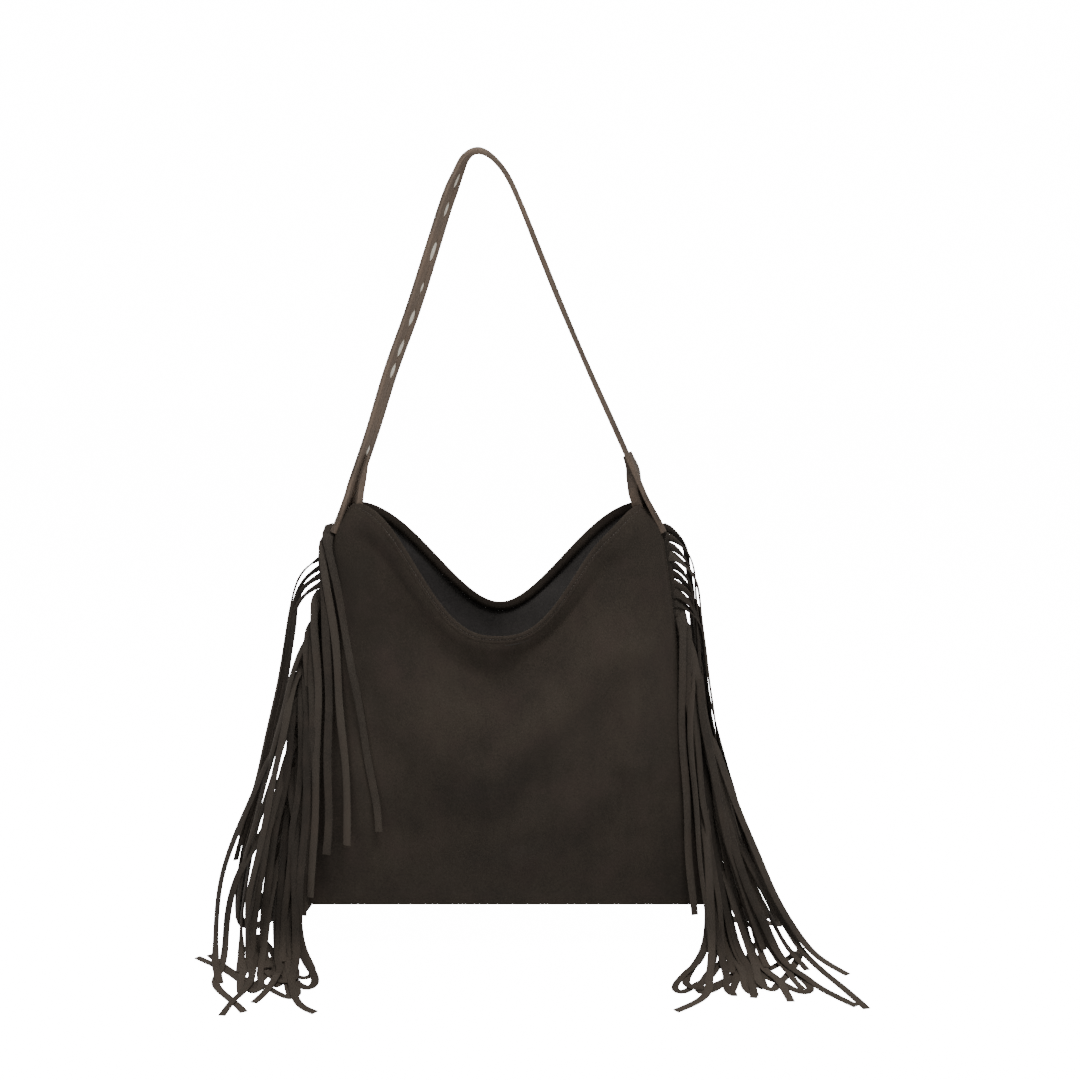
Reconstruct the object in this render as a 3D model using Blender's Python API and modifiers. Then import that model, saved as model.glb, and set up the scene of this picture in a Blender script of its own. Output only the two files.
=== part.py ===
"""Fringed suede shoulder bag, hung by its strap.

Metres, +Z up, +X to the bag's right as seen from the front, front towards -Y.
The origin is the point on top of the strap where the bag hangs. The tips of the
fringe rest on a level surface FLOOR_DROP below it.
"""

import math

import bmesh
import bpy
from mathutils import Matrix, Vector

# Body: two scooped panels, straight along the bottom, drawn in towards the strap
CENTRE_X = 0.018
CORNER_DROP = 0.330
BOTTOM_DROP = 0.727
SEAM_TOP_HALF = 0.152
SEAM_BOTTOM_HALF = 0.205
CORNER_PINCH = 0.015
PINCH_LENGTH = 0.012
SUEDE = 0.0012
TURN_RADIUS = 0.0009
ALLOWANCE = 0.008
HEM_DEPTH = 0.010
BULGE_FULLNESS = 2.6
BULGE_SHARPNESS = 0.75
PANEL_COLUMNS = 16
PANEL_ROWS = 14
# Shares of the panel where its turned edges start and stop, clear of the corners
BOTTOM_TURN_SPAN = 0.96
SIDE_TURN_FROM = 0.06
SIDE_TURN_TO = 0.94
TURN_STEPS = 6
PANEL_DEPTH = 0.300
EDGE = 1e-6

# Front and back panels: sag of the rim, fullness of its curve, mouth and belly depth
FRONT = {"side": -1, "sag": 0.123, "fullness": 1.30, "mouth": 0.031, "belly": 0.030}
BACK = {"side": 1, "sag": 0.1125, "fullness": 1.00, "mouth": 0.029, "belly": 0.027}

# Fringe: one comb a side, its heading caught in the side seam
STRIPS = 40
STRIP_WIDTH = 0.0070
STRIP_PITCH = 0.0090
STRIP_LENGTH = 0.305
HEADING_TOP_DROP = 0.349
HEADING_INSIDE = 0.007
HEADING_OUTSIDE = 0.003
FLOOR_DROP = 0.775
# Strips hang in nested layers: directions in plan (0 outwards, minus to the front) and innermost radius
UPPER_STRIPS = 12
UPPER_DIRECTIONS = (38, 0, -38)
UPPER_RADIUS = 0.019
LOWER_DIRECTIONS = (-85, 85, -112, 112)
LOWER_RADIUS = 0.012
LAYER_STEP = 0.0030
# A strip arches out and down from its root, falls plumb, bends onto the floor and runs along it
ARCH_STEPS = 5
ARCH_FALL = 0.010
ARCH_FALL_BY_RADIUS = 0.8
ARCH_LENGTH_FACTOR = 1.25
BEND_START = 0.046
BEND_REACH = 0.058
BEND_STEPS = 3
SHORTEST_RUN = 0.002
SWERVE_FROM = 0.06
SWERVE_ANGLE = 27
SWERVE_RUN = 0.2

# Strap: a band folded lengthwise round a tape, its edges butted down the inner face
STRAP_WIDTH = 0.030
STRAP_THICKNESS = 0.005
STRAP_END_WIDTH = 0.010
STRAP_END_THICKNESS = 0.0036
STRAP_TAPER = 0.034
STRAP_STATIONS = 60
ROUTE_SAMPLES = 800
SEAM_SLIT = 0.0005
SEAM_GAP_OPENING = 0.0040
TAPE_WIDTH = 0.022
TAPE_THICKNESS = 0.0010
TAPE_START = 0.9
CLEARANCE = 0.0003

STRAP_ROUTE = [
    (-0.1350, -0.3470),
    (-0.1250, -0.3290),
    (-0.1165, -0.3080),
    (-0.1000, -0.2600),
    (-0.0820, -0.2040),
    (-0.0610, -0.1480),
    (-0.0430, -0.0935),
    (-0.0295, -0.0525),
    (-0.0190, -0.0256),
    (-0.0110, -0.0085),
    (0.0000, -0.0025),
    (0.0125, -0.0085),
    (0.0267, -0.0256),
    (0.0395, -0.0526),
    (0.0560, -0.0934),
    (0.0785, -0.1484),
    (0.1028, -0.2040),
    (0.1285, -0.2602),
    (0.1535, -0.3150),
    (0.1625, -0.3314),
    (0.1735, -0.3470),
]
# Stations of the strap where its butted seam gapes and the tape shows
SEAM_GAPS = (7, 14, 16, 18, 21, 23, 26, 29, 33, 36, 39, 42, 46, 51)

COLOURS = {
    "suede": (0.040, 0.030, 0.023),
    "suede_strip": (0.036, 0.028, 0.022),
    "suede_strap": (0.085, 0.062, 0.047),
    "cream_tape": (0.80, 0.76, 0.66),
}
ROUGHNESS = {"suede": 0.95, "suede_strip": 0.92, "suede_strap": 0.9, "cream_tape": 0.85}


def seam_half(drop):
    """Half the bag's width at this drop below the hang point."""
    below = drop - CORNER_DROP
    share = below / (BOTTOM_DROP - CORNER_DROP)
    straight = SEAM_TOP_HALF + (SEAM_BOTTOM_HALF - SEAM_TOP_HALF) * share
    return straight - CORNER_PINCH * math.exp(-max(below, 0.0) / PINCH_LENGTH)


def panel_point(across, down, shape):
    """A point of the panel's middle surface: across from -1 to 1, down from 0 at the rim to 1."""
    rim = shape["sag"] * (1 + math.cos(math.pi * abs(across) ** shape["fullness"])) / 2
    rim_drop = CORNER_DROP + rim
    drop = rim_drop + (BOTTOM_DROP - TURN_RADIUS - rim_drop) * down
    edge_drop = CORNER_DROP + (BOTTOM_DROP - CORNER_DROP) * down
    rounding = max(1 - abs(across) ** BULGE_FULLNESS, 0.0) ** BULGE_SHARPNESS
    depth = shape["mouth"] * (1 - down) ** 2 + shape["belly"] * 4 * down * (1 - down)
    seam = SUEDE + CLEARANCE + 2 * TURN_RADIUS
    half = seam_half(edge_drop) - TURN_RADIUS
    return Vector((CENTRE_X + half * across, shape["side"] * (seam + rounding * depth), -drop))


def inward(across, down, shape):
    """The panel's unit normal, towards the inside of the bag."""
    step = 0.01
    here = panel_point(across, down, shape)
    along = panel_point(min(across + step, 1), down, shape) - panel_point(max(across - step, -1), down, shape)
    below = panel_point(across, min(down + step, 1), shape) - here
    normal = along.cross(below).normalized()
    return normal if normal.y * shape["side"] < 0 else -normal


def turned(edge, out, into, share, length, radius):
    """A point of an allowance turned back on itself: share 0 to 0.5 rounds the fold, 0.5 to 1 runs back."""
    if share <= 0.5:
        angle = math.pi * share / 0.5
        return edge + out * radius * math.sin(angle) + into * radius * (1 - math.cos(angle))
    return edge + into * 2 * radius - out * length * (share - 0.5) / 0.5


def extrude_edges(bm, edges, place, steps):
    """Extrudes a row of boundary edges in steps, putting each new row where place says."""
    for step in range(1, steps + 1):
        made = bmesh.ops.extrude_edge_only(bm, edges=edges)["geom"]
        fresh = {item for item in made if isinstance(item, bmesh.types.BMVert)}
        for vert in fresh:
            vert.co = place(vert, step / steps)
        edges = [
            item
            for item in made
            if isinstance(item, bmesh.types.BMEdge) and item.verts[0] in fresh and item.verts[1] in fresh
        ]


def make_panel(name, shape):
    bm = bmesh.new()
    bmesh.ops.create_grid(bm, x_segments=PANEL_COLUMNS, y_segments=PANEL_ROWS, size=1.0)
    across_layer = bm.verts.layers.float.new("across")
    down_layer = bm.verts.layers.float.new("down")
    for vert in bm.verts:
        across = math.sin(vert.co.x * math.pi / 2) * 0.6 + vert.co.x * 0.4
        vert[across_layer] = across
        vert[down_layer] = (1 - vert.co.y) / 2
    boundary = [edge for edge in bm.edges if edge.is_boundary]

    def edges_where(test):
        return [edge for edge in boundary if all(test(vert[across_layer], vert[down_layer]) for vert in edge.verts)]

    rim = edges_where(lambda across, down: down < EDGE)
    bottom = edges_where(lambda across, down: down > 1 - EDGE and abs(across) < BOTTOM_TURN_SPAN)
    sides = [
        edges_where(lambda across, down: side * across > 1 - EDGE and SIDE_TURN_FROM < down < SIDE_TURN_TO)
        for side in (-1, 1)
    ]
    for vert in bm.verts:
        vert.co = panel_point(vert[across_layer], vert[down_layer], shape)

    def rim_place(vert, share):
        across = vert[across_layer]
        edge = panel_point(across, 0, shape)
        below = panel_point(across, HEM_DEPTH / PANEL_DEPTH, shape)
        if share <= 0.5:
            return turned(edge, (edge - below).normalized(), inward(across, 0.02, shape), share, 0, TURN_RADIUS)
        reach = HEM_DEPTH * (share - 0.5) / 0.5 / PANEL_DEPTH
        return panel_point(across, reach, shape) + inward(across, 0.02, shape) * 2 * TURN_RADIUS

    def bottom_place(vert, share):
        edge = panel_point(vert[across_layer], 1, shape)
        radius = TURN_RADIUS + (CLEARANCE + SUEDE / 2) / 2 - CLEARANCE / 3
        return turned(edge, Vector((0, 0, -1)), Vector((0, -shape["side"], 0)), share, ALLOWANCE, radius)

    def side_place(vert, share):
        edge = panel_point(vert[across_layer], vert[down_layer], shape)
        out = Vector((math.copysign(1, vert[across_layer]), 0, 0))
        return turned(edge, out, Vector((0, -shape["side"], 0)), share, ALLOWANCE, TURN_RADIUS)

    extrude_edges(bm, rim, rim_place, TURN_STEPS)
    extrude_edges(bm, bottom, bottom_place, TURN_STEPS)
    for side_edges in sides:
        extrude_edges(bm, side_edges, side_place, TURN_STEPS)
    bmesh.ops.recalc_face_normals(bm, faces=bm.faces)
    panel = finish(name, bm, "suede")
    thickness = panel.modifiers.new("Suede thickness", "SOLIDIFY")
    thickness.thickness = SUEDE
    thickness.offset = 0.0
    return panel


def heading_edge(drop, side):
    """X of the heading's outer edge, where the strips start."""
    return CENTRE_X + side * (seam_half(drop) + HEADING_OUTSIDE)


def strip_plan(index):
    """Direction in plan (radians, 0 outwards, minus to the front) and layer radius of a strip's hanging run."""
    if index < UPPER_STRIPS:
        directions, last, radius = UPPER_DIRECTIONS, UPPER_STRIPS - 1, UPPER_RADIUS
    else:
        directions, last, radius = LOWER_DIRECTIONS, STRIPS - 1, LOWER_RADIUS
    layer = (last - index) // len(directions)
    return math.radians(directions[index % len(directions)]), radius + LAYER_STEP * layer


def strip_rings(index, side):
    """Centres, width directions and thickness directions along one strip, from its root to its tip."""
    root_drop = HEADING_TOP_DROP + STRIP_PITCH * (index + 0.5)
    direction, radius = strip_plan(index)
    fall = ARCH_FALL + ARCH_FALL_BY_RADIUS * radius
    turn_radius = BEND_REACH - radius
    turn_drop = FLOOR_DROP - SUEDE - BEND_START
    curve = []
    for step in range(1, ARCH_STEPS + 1):
        share = step / ARCH_STEPS
        angle = share * math.pi / 2
        curve.append((radius * math.sin(angle), root_drop + fall * (1 - math.cos(angle)), share))
    length = ARCH_LENGTH_FACTOR * math.hypot(radius, fall)
    start = root_drop + fall
    straight = min(max(turn_drop - start, 0.0), STRIP_LENGTH - length)
    for share in (0.5, 1.0):
        if straight > 0:
            curve.append((radius, start + straight * share, 1.0))
    length += straight
    corner = turn_radius * math.pi / 2
    if STRIP_LENGTH - length > SHORTEST_RUN:
        share = min((STRIP_LENGTH - length) / corner, 1.0)
        for step in range(1, BEND_STEPS + 1):
            angle = share * step / BEND_STEPS * math.pi / 2
            bend = turn_radius * (1 - math.cos(angle))
            curve.append((radius + bend, max(start, turn_drop) + turn_radius * math.sin(angle), 1.0))
        length += corner * share
    rest = STRIP_LENGTH - length
    if rest > SHORTEST_RUN:
        reach, drop, _ = curve[-1]
        for share in (0.5, 1.0):
            curve.append((reach + rest * share, drop, 1.0))
    rings = []
    for reach, drop, share in curve:
        plan = direction * math.sin(share * math.pi / 2)
        if reach > SWERVE_FROM:
            plan -= math.copysign(math.radians(SWERVE_ANGLE), direction) * (reach - SWERVE_FROM) / SWERVE_RUN
        edge = heading_edge(min(drop, BOTTOM_DROP), side)
        centre = Vector((edge + side * reach * math.cos(plan), reach * math.sin(plan), -drop))
        level = Vector((-side * math.sin(plan), math.cos(plan), 0))
        rings.append((centre, level, share))
    return rings


def ring_corners(rings, root_width):
    """Turns each ring into a width and a thickness direction square to the strip's run."""
    corners = []
    for number, (centre, level, share) in enumerate(rings):
        ahead = rings[min(number + 1, len(rings) - 1)][0] - rings[max(number - 1, 0)][0]
        run = ahead.normalized()
        width = root_width.lerp(level, min(share * 1.1, 1.0))
        width = (width - run * width.dot(run)).normalized()
        corners.append((centre, width, width.cross(run).normalized()))
    return corners


def make_fringe(name, side):
    bm = bmesh.new()
    segments = 2 * STRIPS
    bmesh.ops.create_grid(bm, x_segments=1, y_segments=segments, size=1.0)
    for vert in bm.verts:
        step = round((1 - vert.co.y) / 2 * segments)
        drop = HEADING_TOP_DROP + STRIP_PITCH * (step // 2) + (STRIP_PITCH - STRIP_WIDTH) / 2
        drop += STRIP_WIDTH * (step % 2)
        if step == segments:
            drop -= (STRIP_PITCH - STRIP_WIDTH) / 2
        outer = vert.co.x > 0
        reach = HEADING_OUTSIDE if outer else -HEADING_INSIDE
        vert.co = Vector((CENTRE_X + side * (seam_half(drop) + reach), -SUEDE / 2, -drop))
    bmesh.ops.recalc_face_normals(bm, faces=bm.faces)
    body = bmesh.ops.extrude_face_region(bm, geom=bm.faces[:])["geom"]
    for item in body:
        if isinstance(item, bmesh.types.BMVert):
            item.co.y += SUEDE
    bmesh.ops.recalc_face_normals(bm, faces=bm.faces)
    roots = []
    for face in bm.faces:
        centre = face.calc_center_median()
        if abs(face.normal.x) < 0.9 or (centre.x - CENTRE_X) * side < seam_half(-centre.z):
            continue
        height = max(vert.co.z for vert in face.verts) - min(vert.co.z for vert in face.verts)
        if height > STRIP_WIDTH * 0.9:
            roots.append((-centre.z, face))
    for index, (_, face) in enumerate(sorted(roots, key=lambda root: root[0])):
        add_strip(bm, face, index, side)
    return finish(name, bm, "suede_strip")


def add_strip(bm, face, index, side):
    """Grows one strip out of its face of the heading, ring by ring."""
    middle = face.calc_center_median()
    signs = [(1 if vert.co.z > middle.z else -1, 1 if vert.co.y > middle.y else -1) for vert in face.verts]
    corners = ring_corners(strip_rings(index, side), Vector((0, 0, 1)))
    for number, (centre, width, thick) in enumerate(corners):
        if thick.y < 0 and number == 0:
            thick = -thick
        if number and thick.dot(corners[number - 1][2]) < 0:
            thick = -thick
        corners[number] = (centre, width, thick)
        face = bmesh.ops.extrude_discrete_faces(bm, faces=[face])["faces"][0]
        for vert, (along, through) in zip(face.verts, signs):
            vert.co = centre + width * along * STRIP_WIDTH / 2 + thick * through * SUEDE / 2


def spline_point(points, place):
    """Catmull-Rom through the points; place runs from 0 to 1 over them all."""
    spans = len(points) - 1
    span = min(int(place * spans), spans - 1)
    t = place * spans - span
    p = [Vector(points[max(min(span + k, spans), 0)]) for k in (-1, 0, 1, 2)]
    return 0.5 * (
        2 * p[1]
        + (p[2] - p[0]) * t
        + (2 * p[0] - 5 * p[1] + 4 * p[2] - p[3]) * t**2
        + (3 * p[1] - p[0] - 3 * p[2] + p[3]) * t**3
    )


def strap_stations():
    """Evenly spaced stations along the strap: centre, outward normal, and distance to the nearer end."""
    fine = [spline_point(STRAP_ROUTE, k / ROUTE_SAMPLES) for k in range(ROUTE_SAMPLES + 1)]
    lengths = [0.0]
    for a, b in zip(fine, fine[1:]):
        lengths.append(lengths[-1] + (b - a).length)
    total = lengths[-1]
    stations = []
    k = 0
    for number in range(STRAP_STATIONS + 1):
        want = total * number / STRAP_STATIONS
        while k < ROUTE_SAMPLES - 1 and lengths[k + 1] < want:
            k += 1
        part = (want - lengths[k]) / (lengths[k + 1] - lengths[k])
        centre = fine[k].lerp(fine[k + 1], part)
        run = (fine[k + 1] - fine[k]).normalized()
        out = Vector((-run.y, 0, run.x))
        stations.append((Vector((centre.x, 0, centre.y)), out, min(want, total - want)))
    return stations


def strap_size(to_end):
    share = min(to_end / STRAP_TAPER, 1.0)
    share = share * share * (3 - 2 * share)
    return (
        STRAP_END_WIDTH + (STRAP_WIDTH - STRAP_END_WIDTH) * share,
        STRAP_END_THICKNESS + (STRAP_THICKNESS - STRAP_END_THICKNESS) * share,
    )


def fold_section(width, thickness, slit):
    """The folded band's section: (across, out) points round its outer face, then back along its inner one."""
    section = []
    for inset, order in ((0.0, 1), (SUEDE, -1)):
        radius = thickness / 2 - inset
        line = [(slit, -radius)]
        for angle in (-90, -30, 30, 90):
            turn = math.radians(angle)
            line.append((width / 2 - thickness / 2 + radius * math.cos(turn), radius * math.sin(turn)))
        line += [(-across, out) for across, out in reversed(line)]
        section += line[::order]
    return section


def loft(rings):
    """A closed body through rings of equal length, capped at both ends."""
    bm = bmesh.new()
    rows = [[bm.verts.new(point) for point in ring] for ring in rings]
    count = len(rows[0])
    for first, second in zip(rows, rows[1:]):
        for k in range(count):
            bm.faces.new((first[k], first[(k + 1) % count], second[(k + 1) % count], second[k]))
    for row in (rows[0], rows[-1]):
        cap(bm, row)
    bmesh.ops.recalc_face_normals(bm, faces=bm.faces)
    return bm


def cap(bm, row):
    """Closes a ring: quads between its outer and inner lines, or one face on a plain ring."""
    half = len(row) // 2
    if half < 6:
        bm.faces.new(row)
        return
    for k in range(half - 1):
        bm.faces.new((row[k], row[k + 1], row[-2 - k], row[-1 - k]))


def make_strap(name):
    rings = []
    for number, (centre, out, to_end) in enumerate(strap_stations()):
        width, thickness = strap_size(to_end)
        slit = SEAM_GAP_OPENING / 2 if number in SEAM_GAPS else SEAM_SLIT / 2
        section = fold_section(width, thickness, slit)
        rings.append([centre + Vector((0, across, 0)) + out * away for across, away in section])
    return finish(name, loft(rings), "suede_strap")


def make_tape(name):
    rings = []
    for centre, out, to_end in strap_stations():
        if to_end < STRAP_TAPER * TAPE_START:
            continue
        half = TAPE_WIDTH / 2
        thick = TAPE_THICKNESS / 2
        square = ((half, -thick), (half, thick), (-half, thick), (-half, -thick))
        rings.append([centre + Vector((0, across, 0)) + out * away for across, away in square])
    return finish(name, loft(rings), "cream_tape")


def material(slot):
    found = bpy.data.materials.get(slot)
    if found:
        return found
    made = bpy.data.materials.new(slot)
    made.use_nodes = True
    shader = made.node_tree.nodes["Principled BSDF"]
    shader.inputs["Base Color"].default_value = (*COLOURS[slot], 1)
    shader.inputs["Roughness"].default_value = ROUGHNESS[slot]
    shader.inputs["Metallic"].default_value = 0.0
    return made


def finish(name, bm, slot):
    mesh = bpy.data.meshes.new(name)
    bm.to_mesh(mesh)
    bm.free()
    mesh.materials.append(material(slot))
    mesh.shade_smooth()
    mesh.set_sharp_from_angle(angle=math.radians(40))
    made = bpy.data.objects.new(name, mesh)
    bpy.data.collections["fringed_suede_bag"].objects.link(made)
    return made


def main():
    for old in list(bpy.data.objects):
        bpy.data.objects.remove(old, do_unlink=True)
    parts = bpy.data.collections.new("fringed_suede_bag")
    bpy.context.scene.collection.children.link(parts)
    make_panel("front_panel", FRONT)
    make_panel("back_panel", BACK)
    make_fringe("left_fringe", -1)
    make_fringe("right_fringe", 1)
    make_strap("shoulder_strap")
    make_tape("strap_tape")


main()
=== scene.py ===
# %% [markdown]
# # A fringed suede shoulder bag
# The bag hangs by its strap: two soft scooped panels, a comb of forty suede strips in each side
# seam, and one folded band for a strap. The rigid model of the same bag gives every position, so
# this lesson starts by loading it, and each soft piece then takes the place of its plain solid.

# %% Load the frame
import math

import bmesh
import bpy
import numpy as np
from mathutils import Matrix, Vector


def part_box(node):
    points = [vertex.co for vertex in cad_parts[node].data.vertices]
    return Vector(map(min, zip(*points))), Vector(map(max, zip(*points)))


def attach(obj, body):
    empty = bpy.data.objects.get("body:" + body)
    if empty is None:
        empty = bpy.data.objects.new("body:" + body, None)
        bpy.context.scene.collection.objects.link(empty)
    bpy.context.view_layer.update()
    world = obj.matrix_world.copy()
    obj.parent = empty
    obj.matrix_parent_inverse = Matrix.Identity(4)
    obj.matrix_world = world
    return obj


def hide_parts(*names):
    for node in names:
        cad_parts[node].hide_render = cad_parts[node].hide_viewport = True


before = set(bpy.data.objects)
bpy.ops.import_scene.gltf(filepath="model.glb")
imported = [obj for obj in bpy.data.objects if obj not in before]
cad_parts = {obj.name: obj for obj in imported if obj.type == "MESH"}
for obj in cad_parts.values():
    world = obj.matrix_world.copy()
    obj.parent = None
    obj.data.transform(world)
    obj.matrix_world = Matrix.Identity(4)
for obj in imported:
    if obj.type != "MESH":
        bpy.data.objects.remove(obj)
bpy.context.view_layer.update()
panel_low, panel_high = (np.array(corner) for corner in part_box("front_panel"))
fringe_low, _ = (np.array(corner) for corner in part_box("right_fringe"))
CENTRE_X = (panel_low[0] + panel_high[0]) / 2
BOTTOM_HALF = (panel_high[0] - panel_low[0]) / 2
BOTTOM_DROP = -panel_low[2]
CORNER_DROP = -panel_high[2]
FLOOR = fringe_low[2]
print("body", round(2 * BOTTOM_HALF, 3), "m wide, floor", round(FLOOR, 3))

# %% [markdown]
# The camera comes first. A long lens a little above the middle of the bag, looking slightly down,
# shows the front panel square on and a sliver of the inside between the two rims.

# %% Camera
LOOK_AT = Vector((0.057, 0.0, -0.365))
CAMERA_DISTANCE = 1.62
CAMERA_RISE = math.radians(9.5)
FRAME_WIDTH = 1.026

camera_data = bpy.data.cameras.new("camera")
camera_data.sensor_width = 36
camera_data.lens = camera_data.sensor_width * CAMERA_DISTANCE / FRAME_WIDTH
camera = bpy.data.objects.new("camera", camera_data)
bpy.context.scene.collection.objects.link(camera)
camera.location = LOOK_AT + CAMERA_DISTANCE * Vector((0, -math.cos(CAMERA_RISE), math.sin(CAMERA_RISE)))
camera.rotation_euler = (math.pi / 2 - CAMERA_RISE, 0, 0)
bpy.context.scene.camera = camera
print("lens", round(camera_data.lens, 1), "mm")

# %% [markdown]
# Suede is a napped leather. Its colour shifts where the nap lies one way or the other, in soft
# clouds a few centimetres across and in fine speckle, and it has no shine, only a dusty sheen at
# grazing angles. One function makes the family: clouds, streaks and speckle mix two browns, and
# fine noise makes the bump of the nap. All of it reads Object coordinates, which stay put because
# every piece sits unturned at the origin.

# %% Material helpers
SHEEN_TINT = (0.55, 0.47, 0.40, 1.0)


def new_material(name):
    material = bpy.data.materials.new(name)
    material.use_nodes = True
    shader = material.node_tree.nodes["Principled BSDF"]
    return material, material.node_tree, shader


def noise(tree, source, scale, detail=4.0, stretch=(1, 1, 1), roughness=0.6):
    mapping = tree.nodes.new("ShaderNodeMapping")
    mapping.inputs["Scale"].default_value = stretch
    texture = tree.nodes.new("ShaderNodeTexNoise")
    texture.inputs["Scale"].default_value = scale
    texture.inputs["Detail"].default_value = detail
    texture.inputs["Roughness"].default_value = roughness
    tree.links.new(source, mapping.inputs["Vector"])
    tree.links.new(mapping.outputs["Vector"], texture.inputs["Vector"])
    return texture.outputs["Fac"]


def spread(tree, value, low, high, to_low=0.0, to_high=1.0):
    node = tree.nodes.new("ShaderNodeMapRange")
    tree.links.new(value, node.inputs["Value"])
    limits = {"From Min": low, "From Max": high, "To Min": to_low, "To Max": to_high}
    for socket, number in limits.items():
        node.inputs[socket].default_value = number
    return node.outputs["Result"]


def math_node(tree, kind, first, second):
    node = tree.nodes.new("ShaderNodeMath")
    node.operation = kind
    for socket, value in zip(node.inputs, (first, second)):
        if isinstance(value, (int, float)):
            socket.default_value = value
        else:
            tree.links.new(value, socket)
    return node.outputs["Value"]


def mix_colour(tree, factor, first, second):
    node = tree.nodes.new("ShaderNodeMix")
    node.data_type = "RGBA"
    # A colour mix reads its factor and two colours from these three sockets
    for socket, value in zip((node.inputs[0], node.inputs[6], node.inputs[7]), (factor, first, second)):
        if isinstance(value, bpy.types.NodeSocket):
            tree.links.new(value, socket)
        else:
            socket.default_value = value
    return node.outputs[2]


def bump(tree, shader, layers):
    """Stacks (height, strength, distance) bumps, coarse first, on to the shader."""
    normal = None
    for height, strength, distance in layers:
        node = tree.nodes.new("ShaderNodeBump")
        node.inputs["Strength"].default_value = strength
        node.inputs["Distance"].default_value = distance
        tree.links.new(height, node.inputs["Height"])
        if normal:
            tree.links.new(normal, node.inputs["Normal"])
        normal = node.outputs["Normal"]
    tree.links.new(normal, shader.inputs["Normal"])


def attribute(tree, name):
    node = tree.nodes.new("ShaderNodeAttribute")
    node.attribute_name = name
    return node.outputs["Fac"]


def suede(name, dark, light, blush, sheen, tone=None, lift=None):
    """Napped leather. tone names a point attribute that darkens or lightens the colour, and lift one that
    mixes it towards a brighter brown; they carry random strip tone and painted light and shade.
    """
    material, tree, shader = new_material(name)
    place = tree.nodes.new("ShaderNodeTexCoord").outputs["Object"]
    clouds = noise(tree, place, 16, 5, roughness=0.55)
    streaks = noise(tree, place, 60, 4, stretch=(1.0, 1.0, 0.35))
    speckle = noise(tree, place, 900, 3, roughness=0.7)
    warm = noise(tree, place, 34, 3)
    cloud_share = spread(tree, clouds, 0.3, 0.7, 0.0, 0.55)
    shade = math_node(tree, "ADD", cloud_share, spread(tree, streaks, 0.3, 0.7, 0, 0.3))
    shade = math_node(tree, "ADD", shade, spread(tree, speckle, 0.25, 0.75, -0.45, 0.60))
    if tone:
        shade = math_node(tree, "ADD", shade, spread(tree, attribute(tree, tone), 0, 1, -0.5, 0.5))
    colour = mix_colour(tree, shade, dark, light)
    colour = mix_colour(tree, spread(tree, warm, 0.45, 0.75, 0, 0.45), colour, blush)
    if lift:
        lifted = spread(tree, attribute(tree, lift), 0, 1, 0, 0.85)
        colour = mix_colour(tree, lifted, colour, lift_colour(light))
    tree.links.new(colour, shader.inputs["Base Color"])
    tree.links.new(spread(tree, clouds, 0.3, 0.7, 0.86, 0.98), shader.inputs["Roughness"])
    shader.inputs["Specular IOR Level"].default_value = 0.18
    shader.inputs["Sheen Weight"].default_value = sheen
    shader.inputs["Sheen Roughness"].default_value = 0.45
    shader.inputs["Sheen Tint"].default_value = SHEEN_TINT
    grain = noise(tree, place, 420, 5, roughness=0.7)
    nap = noise(tree, place, 2200, 3, roughness=0.8)
    bump(tree, shader, [(clouds, 0.25, 0.002), (grain, 0.35, 0.0005), (nap, 0.5, 0.00025)])
    return material


# The brighter brown that painted light mixes towards
LIFT = (2.3, 2.15, 2.0)


def lift_colour(light):
    return tuple(min(channel * factor, 1.0) for channel, factor in zip(light[:3], LIFT)) + (1.0,)


# %% The suedes and the tape
# The panel suede reads the panels' painted shade and light through its tone
PANEL_SUEDE = suede(
    "suede",
    (0.020, 0.0155, 0.0118, 1),
    (0.044, 0.0345, 0.0265, 1),
    (0.038, 0.0255, 0.0215, 1),
    0.10,
    tone="nap_lie",
)
FLESH_SIDE = suede(
    "suede_flesh_side",
    (0.030, 0.027, 0.026, 1),
    (0.066, 0.060, 0.057, 1),
    (0.056, 0.049, 0.046, 1),
    0.08,
)
# The strip suede takes a random tone per strip and painted light near the floor
STRIP_SUEDE = suede(
    "suede_strip",
    (0.022, 0.018, 0.0145, 1),
    (0.051, 0.042, 0.034, 1),
    (0.048, 0.035, 0.027, 1),
    0.12,
    tone="strip_tone",
    lift="floor_light_and_tip_lift",
)
# The strap suede reads painted shade and painted light on its faces and ends
STRAP_SUEDE = suede(
    "suede_strap",
    (0.042, 0.034, 0.028, 1),
    (0.142, 0.109, 0.085, 1),
    (0.17, 0.115, 0.08, 1),
    0.14,
    tone="strap_painted_shade",
    lift="strap_painted_light",
)


def cloth_tape():
    material, tree, shader = new_material("cream_tape")
    place = tree.nodes.new("ShaderNodeTexCoord").outputs["Object"]
    weave = noise(tree, place, 1400, 2, stretch=(1, 0.35, 1))
    stain = noise(tree, place, 90, 3)
    colour = mix_colour(tree, spread(tree, stain, 0.35, 0.7), (0.95, 0.91, 0.80, 1), (0.80, 0.72, 0.58, 1))
    colour = mix_colour(tree, spread(tree, weave, 0.4, 0.6, 0, 0.3), colour, (0.55, 0.49, 0.40, 1))
    tree.links.new(colour, shader.inputs["Base Color"])
    shader.inputs["Roughness"].default_value = 0.85
    bump(tree, shader, [(weave, 0.5, 0.0003)])
    return material


def thread_material():
    material, tree, shader = new_material("thread")
    place = tree.nodes.new("ShaderNodeTexCoord").outputs["Object"]
    ply = noise(tree, place, 3000, 2)
    twist = spread(tree, ply, 0.35, 0.65)
    colour = mix_colour(tree, twist, (0.020, 0.015, 0.012, 1), (0.060, 0.046, 0.036, 1))
    tree.links.new(colour, shader.inputs["Base Color"])
    shader.inputs["Roughness"].default_value = 0.6
    bump(tree, shader, [(ply, 0.4, 0.0001)])
    return material


TAPE_CLOTH = cloth_tape()
THREAD = thread_material()
print("materials", [m.name for m in (PANEL_SUEDE, STRIP_SUEDE, STRAP_SUEDE, TAPE_CLOTH, THREAD)])

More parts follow.
